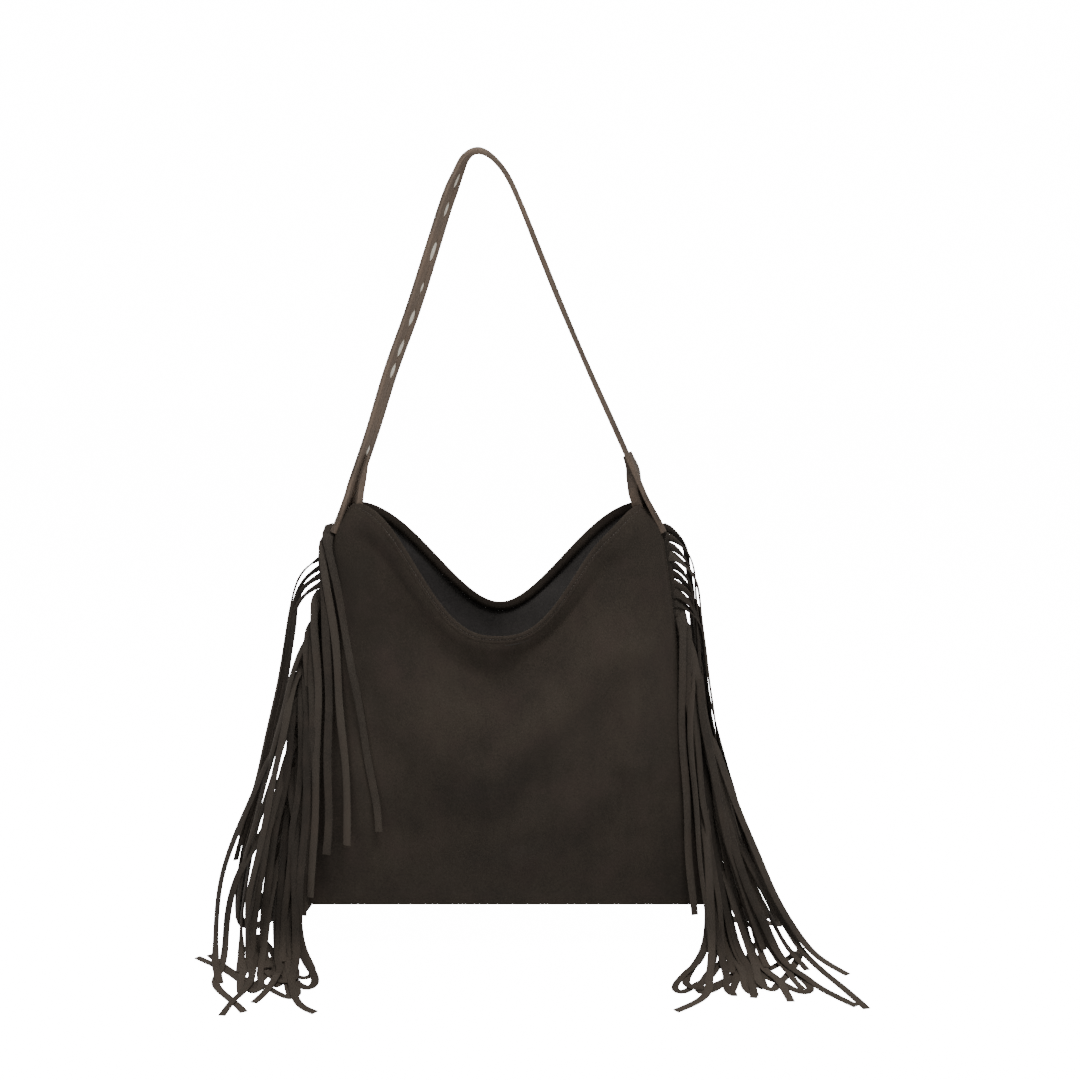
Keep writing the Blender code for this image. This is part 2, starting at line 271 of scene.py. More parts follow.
# %% [markdown]
# Each panel is a sheet that hangs from its two top corners. Its rim is scooped, so the curve of
# the rim is one raised cosine, and the belly between the side seams is rounded. Extra cloth below
# the rim falls in a swag: a soft ridge from corner to corner with its lowest point left of the
# middle. The panel is a height field over its own face, so each fold is a smooth term added to
# the depth, and the same function later tells the fringe where the bag's surface is.

# %% Panel shape
SUEDE_THICKNESS = 0.0012
SEAM_DEPTH = 0.0033
SEAM_TOP_HALF = 0.152
CORNER_PINCH = 0.015
PINCH_LENGTH = 0.012
FRONT = {"side": -1, "sag": 0.123, "fullness": 1.30, "straight": 0.0, "pinch": 1.2, "right_dip": 0.008}
FRONT |= {"mouth": 0.031, "belly": 0.030}
BACK = {"side": 1, "sag": 0.1125, "fullness": 1.00, "straight": 0.45, "pinch": 1.15, "right_dip": 0.0}
BACK |= {"mouth": 0.029, "belly": 0.027}


def unit(vectors):
    return vectors / np.linalg.norm(vectors, axis=-1, keepdims=True)


def seam_half(drop):
    below = drop - CORNER_DROP
    share = below / (BOTTOM_DROP - CORNER_DROP)
    straight = SEAM_TOP_HALF + (BOTTOM_HALF - SEAM_TOP_HALF) * share
    return straight - CORNER_PINCH * np.exp(-np.maximum(below, 0.0) / PINCH_LENGTH)


def ridge(x, z, line, width):
    """How near each point is to a polyline of (x, z), from 0 far off to 1 on it."""
    best = np.full(np.shape(x), 1e9)
    for (ax, az), (bx, bz) in zip(line, line[1:]):
        length2 = (bx - ax) ** 2 + (bz - az) ** 2
        along = np.clip(((x - ax) * (bx - ax) + (z - az) * (bz - az)) / length2, 0, 1)
        gap = (x - ax - along * (bx - ax)) ** 2 + (z - az - along * (bz - az)) ** 2
        best = np.minimum(best, gap)
    return np.exp(-best / width**2)


# Folds as (height, width, route in x and z); minus is a hollow
SWAG_LEFT = [(-0.095, -0.480), (-0.060, -0.535), (-0.012, -0.582)]
SWAG_RIGHT = [(0.014, -0.580), (0.072, -0.522), (0.140, -0.462)]
HOLLOW_LEFT = [(-0.100, -0.372), (-0.070, -0.432), (-0.030, -0.478)]
HOLLOW_RIGHT = [(0.015, -0.498), (0.055, -0.472), (0.112, -0.385)]
FRONT_FOLDS = [
    (0.0150, 0.026, SWAG_LEFT + SWAG_RIGHT),
    (-0.0150, 0.023, HOLLOW_LEFT + HOLLOW_RIGHT),
    (0.0090, 0.019, [(0.163, -0.470), (0.152, -0.530), (0.150, -0.575)]),
    (-0.0060, 0.020, [(0.120, -0.500), (0.118, -0.580), (0.128, -0.650)]),
    (0.0060, 0.024, [(-0.120, -0.400), (-0.128, -0.520), (-0.120, -0.640)]),
    (-0.0060, 0.024, [(-0.090, -0.560), (-0.080, -0.640)]),
    (0.0060, 0.022, [(0.050, -0.640), (0.110, -0.610)]),
    (0.0060, 0.024, [(-0.040, -0.665), (0.030, -0.650)]),
]
BACK_FOLDS = [
    (0.0060, 0.022, [(-0.095, -0.480), (-0.020, -0.560), (0.050, -0.565), (0.130, -0.475)]),
    (-0.0050, 0.022, [(-0.060, -0.450), (0.015, -0.500), (0.090, -0.440)]),
    (0.0040, 0.018, [(-0.120, -0.520), (-0.110, -0.630)]),
    (0.0035, 0.020, [(0.140, -0.540), (0.125, -0.640)]),
]
FRONT["folds"] = FRONT_FOLDS
BACK["folds"] = BACK_FOLDS
# Painted shade and painted light on the panels, in soft clouds: (x, z, radius, darker or lighter)
FRONT["nap"] = [
    (-0.105, -0.425, 0.060, -0.55),
    (0.015, -0.480, 0.050, -0.20),
    (0.010, -0.690, 0.130, -0.14),
    (0.135, -0.520, 0.055, 0.35),
    (-0.105, -0.560, 0.050, 0.28),
    (-0.020, -0.600, 0.040, -0.15),
    (0.190, -0.690, 0.045, -0.30),
]
# The back panel's painted shade and painted light, in the same columns
BACK["nap"] = [(0.080, -0.450, 0.060, -0.35), (-0.090, -0.560, 0.070, 0.25), (0.120, -0.640, 0.060, 0.2)]


RIM_RIDGES = ((1.0, 0.0008), (0.8, 0.0042))
RIDGE_WIDTH = 0.0011
RIDGE_HEIGHT = 0.0009
# The seams take this much of a panel's edge
SEAM_TAKE = 0.0009


def rim_bead(from_rim):
    """Two rounded ridges along the hem with the stitching between them."""
    return sum(share * np.exp(-(((from_rim - place) / RIDGE_WIDTH) ** 2)) for share, place in RIM_RIDGES)


def panel_points(across, down, shape):
    """Middle surface of a panel: across from -1 to 1, down from 0 at the rim to 1 at the bottom."""
    across = np.asarray(across, float)
    down = np.asarray(down, float)
    scoop = (1 + np.cos(np.pi * np.abs(across) ** shape["fullness"])) / 2
    vee = 1 - np.sqrt(across**2 + 0.03) + 0.0149
    scoop = (1 - shape["straight"]) * scoop + shape["straight"] * vee
    dip = shape["right_dip"] * np.exp(-(((across - 0.80) / 0.13) ** 2))
    rim_drop = CORNER_DROP + shape["sag"] * np.maximum(scoop, 0) ** shape["pinch"] + dip
    drop = rim_drop + (BOTTOM_DROP - SEAM_TAKE - rim_drop) * down
    edge_drop = CORNER_DROP + (BOTTOM_DROP - CORNER_DROP) * down
    rounding = np.maximum(1 - np.abs(across) ** 2.6, 0) ** 0.62
    depth = shape["mouth"] * (1 - down) ** 2 + shape["belly"] * 4 * down * (1 - down)
    x = CENTRE_X + (seam_half(edge_drop) - SEAM_TAKE) * across
    to_seam = 1 - np.abs(across)
    fade = np.minimum(down / 0.06, 1) * np.minimum((1 - down) / 0.12, 1) * np.minimum(to_seam / 0.10, 1)
    for height, width, line in shape["folds"]:
        depth = depth + height * fade * ridge(x, -drop, line, width)
    from_rim = down * (BOTTOM_DROP - rim_drop)
    depth = depth + RIDGE_HEIGHT * rim_bead(from_rim) * np.minimum(to_seam / 0.06, 1)
    ripple = 0.0011 * np.sin(46 * x + 9 * drop) + 0.0008 * np.sin(71 * drop - 23 * x + 1.3)
    depth = depth + ripple * fade
    y = shape["side"] * (SEAM_DEPTH + rounding * depth)
    return np.stack([x, y, -drop], axis=-1)


print("front rim middle", np.round(panel_points(0, 0, FRONT), 3))

# %% [markdown]
# A grid of that surface gets three turned edges: a hem folded inside along the rim, and seam
# allowances folded inside along the two sides and the bottom. Solidify gives the suede its real
# 1.2 mm, so the rim shows a rounded, doubled edge.

# %% Panel meshes
COLUMNS = 132
ROWS = 130
RIM_ROWS = 16
TURN = 0.0008
HEM_DEPTH = 0.008
ALLOWANCE = 0.008
FOLD_STEPS = 6


def mesh_object(name, verts, faces, material, smooth=True):
    mesh = bpy.data.meshes.new(name)
    mesh.from_pydata([tuple(v) for v in verts], [], [tuple(f) for f in faces])
    mesh.validate()
    mesh.materials.append(material)
    if smooth:
        mesh.shade_smooth()
    made = bpy.data.objects.new(name, mesh)
    bpy.context.scene.collection.objects.link(made)
    return made


def set_floats(mesh, name, values):
    layer = mesh.attributes.new(name, "FLOAT", "POINT")
    layer.data.foreach_set("value", np.asarray(values, np.float32).reshape(-1))


def turned_rows(edge, out, into, length):
    """Rows that round a fold and run back inside, from an edge and its outward and inward directions."""
    rows = []
    for step in range(1, FOLD_STEPS + 1):
        angle = math.pi * step / FOLD_STEPS
        rows.append(edge + out * TURN * math.sin(angle) + into * TURN * (1 - math.cos(angle)))
    for share in (0.4, 1.0):
        rows.append(edge + into * 2 * TURN - out * length * share)
    return rows


def make_panel(name, shape):
    line = np.linspace(-1, 1, COLUMNS + 1)
    across = 0.35 * np.sin(line * np.pi / 2) + 0.65 * line
    near_rim = np.linspace(0, 0.03, RIM_ROWS, endpoint=False)
    down = np.concatenate([near_rim, np.linspace(0.03, 1, ROWS + 1 - RIM_ROWS)])
    grid = panel_points(across[None, :], down[:, None], shape)
    into = np.array([0, -shape["side"], 0.0])
    rim_edge = grid[0]
    rim_out = unit(grid[0] - grid[3])
    rim_into = unit(into - rim_out * (rim_out @ into)[:, None])
    hem_full = turned_rows(rim_edge, rim_out, rim_into, HEM_DEPTH)
    corner = np.minimum((1 - np.abs(across)) / 0.08, 1)[:, None]
    hem = [rim_edge + (row - rim_edge) * (0.35 + 0.65 * corner) for row in hem_full]
    rows = [*hem[::-1], *grid]
    bottom_into = np.repeat(into[None, :], len(across), 0)
    rows += turned_rows(grid[-1], np.array([0, 0, -1.0]), bottom_into, ALLOWANCE)
    verts = [point for row in rows for point in row]
    width = COLUMNS + 1
    faces = [
        (r * width + c, r * width + c + 1, (r + 1) * width + c + 1, (r + 1) * width + c)
        for r in range(len(rows) - 1)
        for c in range(COLUMNS)
    ]
    first = len(hem) + 8
    last = len(hem) + ROWS - 6
    for column, out_x in ((0, -1.0), (COLUMNS, 1.0)):
        edge = np.array([rows[r][column] for r in range(first, last)])
        before = [r * width + column for r in range(first, last)]
        for row in turned_rows(edge, np.array([out_x, 0, 0]), into, ALLOWANCE):
            here = range(len(verts), len(verts) + len(row))
            verts += list(row)
            faces += [(before[k], before[k + 1], here[k + 1], here[k]) for k in range(len(row) - 1)]
            before = list(here)
    made = mesh_object(name, verts, faces, PANEL_SUEDE)
    face_out(made, into)
    # A point attribute carries the painted shade and light of the clouds to the panel suede
    shade_paint = np.full(len(made.data.vertices), 0.5)
    places = np.array([vertex.co for vertex in made.data.vertices])
    for x, z, radius, amount in shape["nap"]:
        shade_paint += amount * np.exp(-((places[:, 0] - x) ** 2 + (places[:, 2] - z) ** 2) / radius**2)
    set_floats(made.data, "nap_lie", shade_paint.clip(0, 1))
    thickness = made.modifiers.new("Suede thickness", "SOLIDIFY")
    thickness.thickness = SUEDE_THICKNESS
    thickness.offset = 0
    made.data.materials.append(FLESH_SIDE)
    thickness.material_offset = 1
    return made


def face_out(made, into):
    """Makes the sheet's faces agree, and turns them so that the panel's face looks away from the bag."""
    bm = bmesh.new()
    bm.from_mesh(made.data)
    bmesh.ops.recalc_face_normals(bm, faces=bm.faces)
    middle = max(bm.faces, key=lambda face: face.calc_center_median().y * -into[1])
    if middle.normal.y * into[1] > 0:
        bmesh.ops.reverse_faces(bm, faces=bm.faces)
    bm.to_mesh(made.data)
    bm.free()
    made.data.shade_smooth()


front_panel = make_panel("front_panel_suede", FRONT)
back_panel = make_panel("back_panel_suede", BACK)
print("panel faces", len(front_panel.data.polygons), len(back_panel.data.polygons))

# %% [markdown]
# The fringe is one strip of suede a side, cut into a comb and caught in the seam. A strip leaves
# the seam flat in the seam's plane, twists as it turns down, and then hangs. Where it is longer
# than its height above the surface below, it lands, bends and splays. Each strip gets a route of
# its real length: thrown to the front or the back at its root, steered down a lane of its own
# inside the fringe's outline, and then along the surface, where it may fold. A short relaxation
# then keeps the strips apart, off the panels and above the floor.

# %% Strip routes
STRIPS = 40
STRIP_WIDTH = 0.0070
STRIP_PITCH = 0.0090
STRIP_LENGTH = 0.305
HEADING_TOP_DROP = 0.349
HEADING_OUTSIDE = 0.003
HEADING_PAST_ROOTS = 0.0022
LINKS = 60
LINK = STRIP_LENGTH / LINKS
LANDING = 0.020
LIE_HEIGHT = 0.0012
ROOT_PITCH = math.radians(80)
LOOK_AHEAD = 0.055
STEEPEST_LEAN = 0.75
STEEPEST_DEPTH = 0.3
WOBBLE = 0.05
FOLD_AT = (0.045, 0.095)
FOLD_RUN = 0.018
INNER_REACH = 0.045
RANDOM = np.random.default_rng(7)
# The outer side of each fringe as it hangs: (drop, distance out from the seam)
RIGHT_OUTLINE = [(0.355, 0.012), (0.367, 0.018), (0.391, 0.024), (0.419, 0.027), (0.458, 0.0275)]
RIGHT_OUTLINE += [(0.558, 0.027), (0.596, 0.034), (0.680, 0.055), (0.738, 0.072), (0.775, 0.096)]
RIGHT_OUTLINE += [(0.850, 0.145)]
LEFT_OUTLINE = [(0.360, 0.012), (0.382, 0.021), (0.404, 0.029), (0.449, 0.036), (0.510, 0.040)]
LEFT_OUTLINE += [(0.579, 0.047), (0.622, 0.053), (0.656, 0.060), (0.679, 0.067), (0.738, 0.072)]
LEFT_OUTLINE += [(0.775, 0.067), (0.850, 0.060)]


def smooth_step(value):
    value = np.clip(value, 0.0, 1.0)
    return value * value * (3 - 2 * value)


def strip_root(index, side):
    drop = HEADING_TOP_DROP + STRIP_PITCH * (index + 0.5)
    return np.array([CENTRE_X + side * (seam_half(drop) + HEADING_OUTSIDE), 0.0, -drop])


def lane_place(drop, root_drop, lane, outline):
    """Distance of a lane from the seam: 1 is the fringe's outer side, minus is over the panel."""
    if lane < 0:
        return lane * INNER_REACH * min((drop - root_drop) / STRIP_LENGTH, 1.0)
    drops, outs = zip(*outline)
    return lane * np.interp(drop, drops, outs)


def strip_route(index, side, plan, outline):
    """Marches one strip: over its arch, down its lane, and out along the floor.

    plan is (swing, reach, lane, depth, way on the floor, fold on the floor). Ways are degrees round
    the seam: 0 is straight out, -90 to the front and 90 to the back. depth is how far in front of
    the seam it hangs.
    """
    swing, reach, lane, depth, floor_way, fold = plan
    arch = 2.1 * reach
    wave = RANDOM.uniform(0, 2 * math.pi, 2)
    fold_at = RANDOM.uniform(*FOLD_AT)
    point = strip_root(index, side)
    root_drop, lying = -point[2], 0.0
    points = [point]
    for link in range(LINKS):
        run = (link + 0.5) * LINK
        over = smooth_step(run / arch)
        drop = -point[2]
        height = point[2] - FLOOR - LIE_HEIGHT
        way = math.radians(swing) * smooth_step(run / arch * 1.3)
        level = math.sin(ROOT_PITCH)
        from_root = np.array([side * math.cos(way) * level, math.sin(way) * level, -math.cos(ROOT_PITCH)])
        ahead = drop + LOOK_AHEAD
        aim_x = CENTRE_X + side * (seam_half(ahead) + lane_place(ahead, root_drop, lane, outline))
        lean_x = np.clip((aim_x - point[0]) / LOOK_AHEAD, -STEEPEST_LEAN, STEEPEST_LEAN)
        lean_y = np.clip((-depth - point[1]) / LOOK_AHEAD, -STEEPEST_DEPTH, STEEPEST_DEPTH)
        lean_x += WOBBLE * over * math.sin(run * 52 + wave[0])
        lean_y += WOBBLE * over * math.sin(run * 43 + wave[1])
        hanging = unit(np.array([lean_x, lean_y, -1.0]))
        step = unit(from_root * (1 - over) + hanging * over)
        steep = min(-step[2], height / LANDING)
        landed = smooth_step(1 - height / 0.045)
        lying += LINK * landed * (1 - steep)
        folded = fold * smooth_step((lying - fold_at) / FOLD_RUN)
        heading = math.radians(floor_way + folded) + 0.2 * math.sin(lying * 60 + wave[0])
        floor_step = np.array([side * math.cos(heading), math.sin(heading)])
        flat = step[:2] * (1 - landed) + floor_step * landed
        flat = unit(flat) * math.sqrt(max(1 - steep * steep, 0.0))
        point = point + LINK * np.array([flat[0], flat[1], -steep])
        points.append(point)
    return points


# %% [markdown]
# The two fringes fall differently. On the right the top nine strips are thrown out and back and
# hang as a bundle, and the rest make a curtain that flares to the right. On the left the first
# strips fall forward over the panel, the next few go out and back, and the rest hang as a dense
# curtain in front of the seam. Every fourth strip of a curtain goes behind the seam instead. Each
# strip of a curtain has its lane, so that together they fill the width from the panel to the
# outline. The lowest strips have the most length to spare, and it lies on the floor.

# %% Where each strip goes
# Each row covers strips up to an index: (up to, swing, reach, lane, depth, way on the floor, fold
# there). The way is counted from the fringe's own fan: (way of lane 0, way added over one lane)
RIGHT_FAN = (-102, 60)
LEFT_FAN = (-104, 20)
RIGHT_PLANS = [
    (3, (14, 34), (0.019, 0.022), (0.70, 1.0), (-0.010, -0.004), (0, 0), (0, 0)),
    (9, (10, 40), (0.018, 0.021), (0.50, 1.0), (-0.012, 0.002), (0, 0), (0, 0)),
    (10, (-96, -90), (0.009, 0.011), (-0.40, -0.36), (0.016, 0.020), (0, 0), (0, 0)),
    (16, (-84, -50), (0.009, 0.016), (-0.15, 0.9), (0.010, 0.026), (-10, 10), (-30, 30)),
    (24, (-84, -30), (0.009, 0.016), (0.0, 1.0), (0.008, 0.030), (-12, 12), (-40, 40)),
    (30, (-90, -30), (0.009, 0.015), (-0.1, 1.0), (0.008, 0.034), (-14, 14), (-50, 50)),
    (40, (-96, -40), (0.009, 0.014), (-0.5, 0.9), (0.008, 0.034), (-16, 16), (150, 178)),
]
LEFT_PLANS = [
    (1, (-80, -76), (0.012, 0.013), (-1.86, -1.84), (0.030, 0.032), (0, 0), (0, 0)),
    (2, (-86, -80), (0.013, 0.014), (-1.20, -1.18), (0.030, 0.032), (0, 0), (0, 0)),
    (3, (-84, -80), (0.011, 0.012), (-0.72, -0.70), (0.026, 0.030), (0, 0), (0, 0)),
    (7, (6, 30), (0.021, 0.026), (0.80, 1.0), (-0.012, 0.000), (0, 0), (0, 0)),
    (10, (-88, -70), (0.010, 0.014), (-0.60, -0.15), (0.018, 0.028), (0, 0), (0, 0)),
    (16, (-80, -36), (0.011, 0.020), (-0.30, 1.05), (0.010, 0.030), (-10, 10), (-30, 30)),
    (24, (-84, -30), (0.010, 0.019), (-0.36, 1.1), (0.008, 0.036), (-12, 12), (-40, 40)),
    (30, (-84, -30), (0.010, 0.018), (-0.50, 1.1), (0.008, 0.036), (-14, 14), (-50, 50)),
    (40, (-96, -40), (0.009, 0.016), (-0.95, 1.1), (0.008, 0.036), (-16, 16), (150, 178)),
]
FIRST_THROWN_BACK = 11
THROWN_BACK_EVERY = 4
BACK_LANES = 0.28
BACK_SPREAD = 0.65
BACK_WAY = 100
FOLDS_OUTWARD_BELOW = 0.4
# Multiples of these, less their whole parts, spread the strips of a row evenly over its ranges
SPREAD_STEPS = (0.755, 0.570, 0.618, 0.845, 0.382, 0.232)


def strip_routes(side, plans, outline, fan):
    routes = []
    for index in range(STRIPS):
        spans = next(plan[1:] for plan in plans if index < plan[0])
        shares = [(index * step) % 1.0 for step in SPREAD_STEPS]
        picked = [low + (high - low) * share for (low, high), share in zip(spans, shares)]
        swing, reach, lane, depth, way, fold = picked
        way += fan[0] + fan[1] * max(lane, -1.0)
        if index % 2 and lane > FOLDS_OUTWARD_BELOW:
            fold = -fold
        if index >= FIRST_THROWN_BACK and index % THROWN_BACK_EVERY == 0:
            lane = BACK_LANES + BACK_SPREAD * max(lane, 0.0)
            swing, depth, way, fold = -swing, -depth, BACK_WAY, 0.0
        routes.append(strip_route(index, side, (swing, reach, lane, depth, way, fold), outline))
    return np.array(routes)


right_routes = strip_routes(1, RIGHT_PLANS, RIGHT_OUTLINE, RIGHT_FAN)
left_routes = strip_routes(-1, LEFT_PLANS, LEFT_OUTLINE, LEFT_FAN)
print("routes", right_routes.shape, left_routes.shape)

# %% [markdown]
# The routes know nothing of one another, so a relaxation settles them. Each pass moves points of
# different strips apart where they crowd, takes what is inside the bag out through its surface,
# lifts what has sunk through the floor, evens out kinks and then gives every link its length back,
# from the root to the tip. It is a position-based solver in plain NumPy and takes a few seconds.

# %% Relaxation
PASSES = 46
STRIP_GAP = 0.0042
CLEAR_OF_PANEL = 0.0022
EVEN_OUT = 0.22
LAST_SMOOTHING = 3
HOLD_ROUTE = 0.015
MAP_CELLS = 220
MAP_SAMPLES = 500


def depth_map(shape):
    """The panel's depth from the seam plane on a regular grid of x and z."""
    across = np.linspace(-1, 1, MAP_SAMPLES)
    down = np.linspace(0, 1, MAP_SAMPLES)
    points = panel_points(across[None, :], down[:, None], shape).reshape(-1, 3)
    place = map_place(points).round().astype(int).clip(0, MAP_CELLS - 1)
    table = np.zeros((MAP_CELLS, MAP_CELLS))
    np.maximum.at(table, (place[:, 0], place[:, 1]), np.abs(points[:, 1]))
    return table


def map_place(points):
    low = np.array([CENTRE_X - BOTTOM_HALF, -BOTTOM_DROP])
    high = np.array([CENTRE_X + BOTTOM_HALF, -CORNER_DROP])
    return (points[..., [0, 2]] - low) / (high - low) * (MAP_CELLS - 1)


FRONT_MAP = depth_map(FRONT)
BACK_MAP = depth_map(BACK)


def out_of_bag(points, side):
    """Moves points that are inside the bag, or too near it, out through the nearer surface."""
    place = map_place(points)
    over = ((place > 0) & (place < MAP_CELLS - 1)).all(axis=-1)
    cell = place.round().astype(int).clip(0, MAP_CELLS - 1)
    front = points[..., 1] < 0
    depth = np.where(front, FRONT_MAP[cell[..., 0], cell[..., 1]], BACK_MAP[cell[..., 0], cell[..., 1]])
    need_y = depth + CLEAR_OF_PANEL - np.abs(points[..., 1])
    edge = CENTRE_X + side * (seam_half(-points[..., 2]) + HEADING_OUTSIDE)
    need_x = side * (edge - points[..., 0])
    inside = over & (depth > 0) & (need_y > 0) & (need_x > 0)
    by_y = inside & (need_y < need_x)
    points[..., 1] += np.where(by_y, np.where(front, -need_y, need_y), 0)
    points[..., 0] += np.where(inside & ~by_y, side * need_x, 0)


def part_strips(points):
    """Pushes points of different strips apart where they are nearer than STRIP_GAP."""
    strips, count, _ = points.shape
    flat = points.reshape(-1, 3)
    local = (flat - flat.mean(axis=0)).astype(np.float32)
    square = (local * local).sum(axis=1)
    distance2 = square[:, None] + square[None, :] - 2 * local @ local.T
    first, second = np.nonzero(distance2 < STRIP_GAP**2)
    pairs = (first < second) & (first // count != second // count)
    first, second = first[pairs], second[pairs]
    gap = flat[second] - flat[first]
    distance = np.maximum(np.linalg.norm(gap, axis=1), 1e-6)
    move = gap / distance[:, None] * (0.5 * np.maximum(STRIP_GAP - distance, 0))[:, None]
    push, hits = np.zeros_like(flat), np.ones(len(flat))
    for place, way in ((first, -1), (second, 1)):
        np.add.at(push, place, way * move)
        np.add.at(hits, place, 0.5)
    loose = smooth_step((np.arange(count) * LINK - 0.006) / 0.02)
    points += (push / hits[:, None]).reshape(points.shape) * loose[None, :, None]
    return len(first)


def relax(routes, side, passes):
    points = routes.copy()
    out_of_bag(points[:, 3:], side)
    target = points.copy()
    for _ in range(passes):
        crowded = part_strips(points)
        middle = (points[:, 1:-2] + points[:, 3:]) / 2
        points[:, 2:-1] += EVEN_OUT * (middle - points[:, 2:-1])
        points[:, 2:] += HOLD_ROUTE * (target[:, 2:] - points[:, 2:])
        out_of_bag(points[:, 3:], side)
        points[..., 2] = np.maximum(points[..., 2], FLOOR + LIE_HEIGHT)
        for link in range(1, LINKS):
            points[:, link + 1] = points[:, link] + unit(points[:, link + 1] - points[:, link]) * LINK
        points[..., 2] = np.maximum(points[..., 2], FLOOR + LIE_HEIGHT)
    for _ in range(LAST_SMOOTHING):
        points[:, 3:-1] = (points[:, 2:-2] + 2 * points[:, 3:-1] + points[:, 4:]) / 4
    print("crowded pairs left", crowded)
    return points


passes = PASSES
right_strands = relax(right_routes, 1, passes)
left_strands = relax(left_routes, -1, passes)
print("lowest point", round(float(min(right_strands[..., 2].min(), left_strands[..., 2].min())), 4))

# %% [markdown]
# A strip needs a direction for its flat side at every point: square to the seam's plane at the
# root, facing out from the bag as it hangs, and facing up where it lies down. These directions go
# on the chain as a point attribute, and Geometry Nodes sweeps a thin rounded rectangle along each
# chain, turned to that direction. The comb's heading is a plain band added to the same piece.

# %% Strip directions
# A strip that has left the seam's plane by its fourth link covers its neighbour's root, so it narrows later
CURTAIN_LINK = 4
CURTAIN_DEPTH = 0.006
CURTAIN_WIDE_RUN = 0.010
# The others stand out as ribs, and turn their flat side up as they bend over
RIB_TURN = 0.75
ROOT_WIDTH = STRIP_PITCH * 1.20
# Flat sides face the front or the back far more than the side
FACING = np.array([0.30, 1.0, 0.0])


def smooth_line(points, fine):
    """Catmull-Rom through each chain, fine points to a link."""
    before = 2 * points[:, :1] - points[:, 1:2]
    after = 2 * points[:, -1:] - points[:, -2:-1]
    padded = np.concatenate([before, points, after], axis=1)
    p0, p1, p2, p3 = (padded[:, k : k + points.shape[1] - 1] for k in range(4))
    made = []
    for step in range(fine):
        t = step / fine
        square = (2 * p0 - 5 * p1 + 4 * p2 - p3) * t * t
        cube = (3 * p1 - p0 - 3 * p2 + p3) * t**3
        made.append(0.5 * (2 * p1 + (p2 - p0) * t + square + cube))
    line = np.stack(made, axis=2).reshape(points.shape[0], -1, 3)
    return np.concatenate([line, points[:, -1:]], axis=1)


def flat_sides(line, side):
    """Unit vectors out of each strip's flat face, along fine lines."""
    strips, count, _ = line.shape
    run = unit(np.gradient(line, axis=1))
    middle = line[:, count // 3]
    seam = np.stack([CENTRE_X + side * seam_half(-middle[:, 2]), np.zeros(strips), middle[:, 2]], axis=1)
    away = (middle - seam) * FACING
    away = unit(away + np.array([side * 0.002, -0.004, 0]))
    turn_at_root = RANDOM.normal(0, 0.22, strips)[:, None]
    turn_to_tip = RANDOM.normal(0, 0.34, strips)[:, None]
    turn = turn_at_root + turn_to_tip * np.linspace(0, 1, count)
    cos, sin = np.cos(turn), np.sin(turn)
    hang = np.zeros(line.shape)
    hang[..., 0] = away[:, None, 0] * cos - away[:, None, 1] * sin
    hang[..., 1] = away[:, None, 0] * sin + away[:, None, 1] * cos
    root_share = smooth_step((np.arange(count) * LINK - 0.004) / 0.020)[None, :, None]
    root_side = np.where(away[:, 1] < 0, -1.0, 1.0)
    root = root_side[:, None, None] * np.array([0, 1.0, 0])
    ribs = (np.abs(line[:, CURTAIN_LINK, 1]) < CURTAIN_DEPTH)[:, None, None]
    from_root = (np.arange(count) * LINK)[None, :, None]
    over_arch = smooth_step(from_root / 0.006) * (1 - smooth_step((from_root - 0.022) / 0.020)) * ribs
    face = root * (1 - root_share) + (hang + np.array([0, 0, 0.25])) * root_share
    face = face + np.array([0, 0, RIB_TURN]) * over_arch
    lying = 1 - np.abs(run[..., 2:3])
    near_floor = np.clip(1 - (line[..., 2:3] - FLOOR) / 0.05, 0, 1) * np.clip(lying * 1.6, 0, 1)
    face = face * (1 - near_floor) + np.array([0, 0, 1.0]) * near_floor * 1.5
    for _ in range(4):
        face[:, 2:-1] = (face[:, 1:-2] + 2 * face[:, 2:-1] + face[:, 3:]) / 4
    face = face - run * (face * run).sum(-1, keepdims=True)
    return unit(face)


def strip_chains(name, strands, side):
    """A mesh of bare chains with the attributes that the sweep reads."""
    line = strands
    face = flat_sides(line, side)
    strips, count, _ = line.shape
    mesh = bpy.data.meshes.new(name)
    edges = [(s * count + k, s * count + k + 1) for s in range(strips) for k in range(count - 1)]
    mesh.from_pydata(line.reshape(-1, 3).tolist(), edges, [])
    share = np.linspace(0, 1, count)[None, :]
    tone = np.repeat(RANDOM.uniform(0, 1, strips)[:, None], count, 1)
    # Painted light where a strip lies on the floor, and a lift that grows towards every tip
    on_floor = np.clip(1 - (line[..., 2] - FLOOR) / 0.035, 0, 1)
    lift = on_floor * 0.22 + 0.12 * share**2
    cut = RANDOM.uniform(0.96, 1.14, strips)[:, None]
    width = STRIP_WIDTH * (cut + 0.04 * np.sin(share * 19 + tone * 40))
    curtain = np.abs(line[:, CURTAIN_LINK, 1:2]) > CURTAIN_DEPTH
    wide_run = np.where(curtain, CURTAIN_WIDE_RUN, 0.0)
    at_root = 1 - smooth_step((share * STRIP_LENGTH - 0.002 - wide_run) / (0.006 + wide_run))
    width = width * (1 - at_root) + ROOT_WIDTH * at_root
    values = {"strip_tone": tone, "floor_light_and_tip_lift": lift, "strip_size": width / STRIP_WIDTH}
    for key, value in values.items():
        set_floats(mesh, key, value)
    layer = mesh.attributes.new("flat_side", "FLOAT_VECTOR", "POINT")
    layer.data.foreach_set("vector", face.reshape(-1).astype(np.float32))
    made = bpy.data.objects.new(name, mesh)
    bpy.context.scene.collection.objects.link(made)
    return made


# %% Strip sweep tree
def named_input(tree, name, kind, value):
    socket = tree.interface.new_socket(name, in_out="INPUT", socket_type=kind)
    if value is not None:
        socket.default_value = value
    return socket.identifier


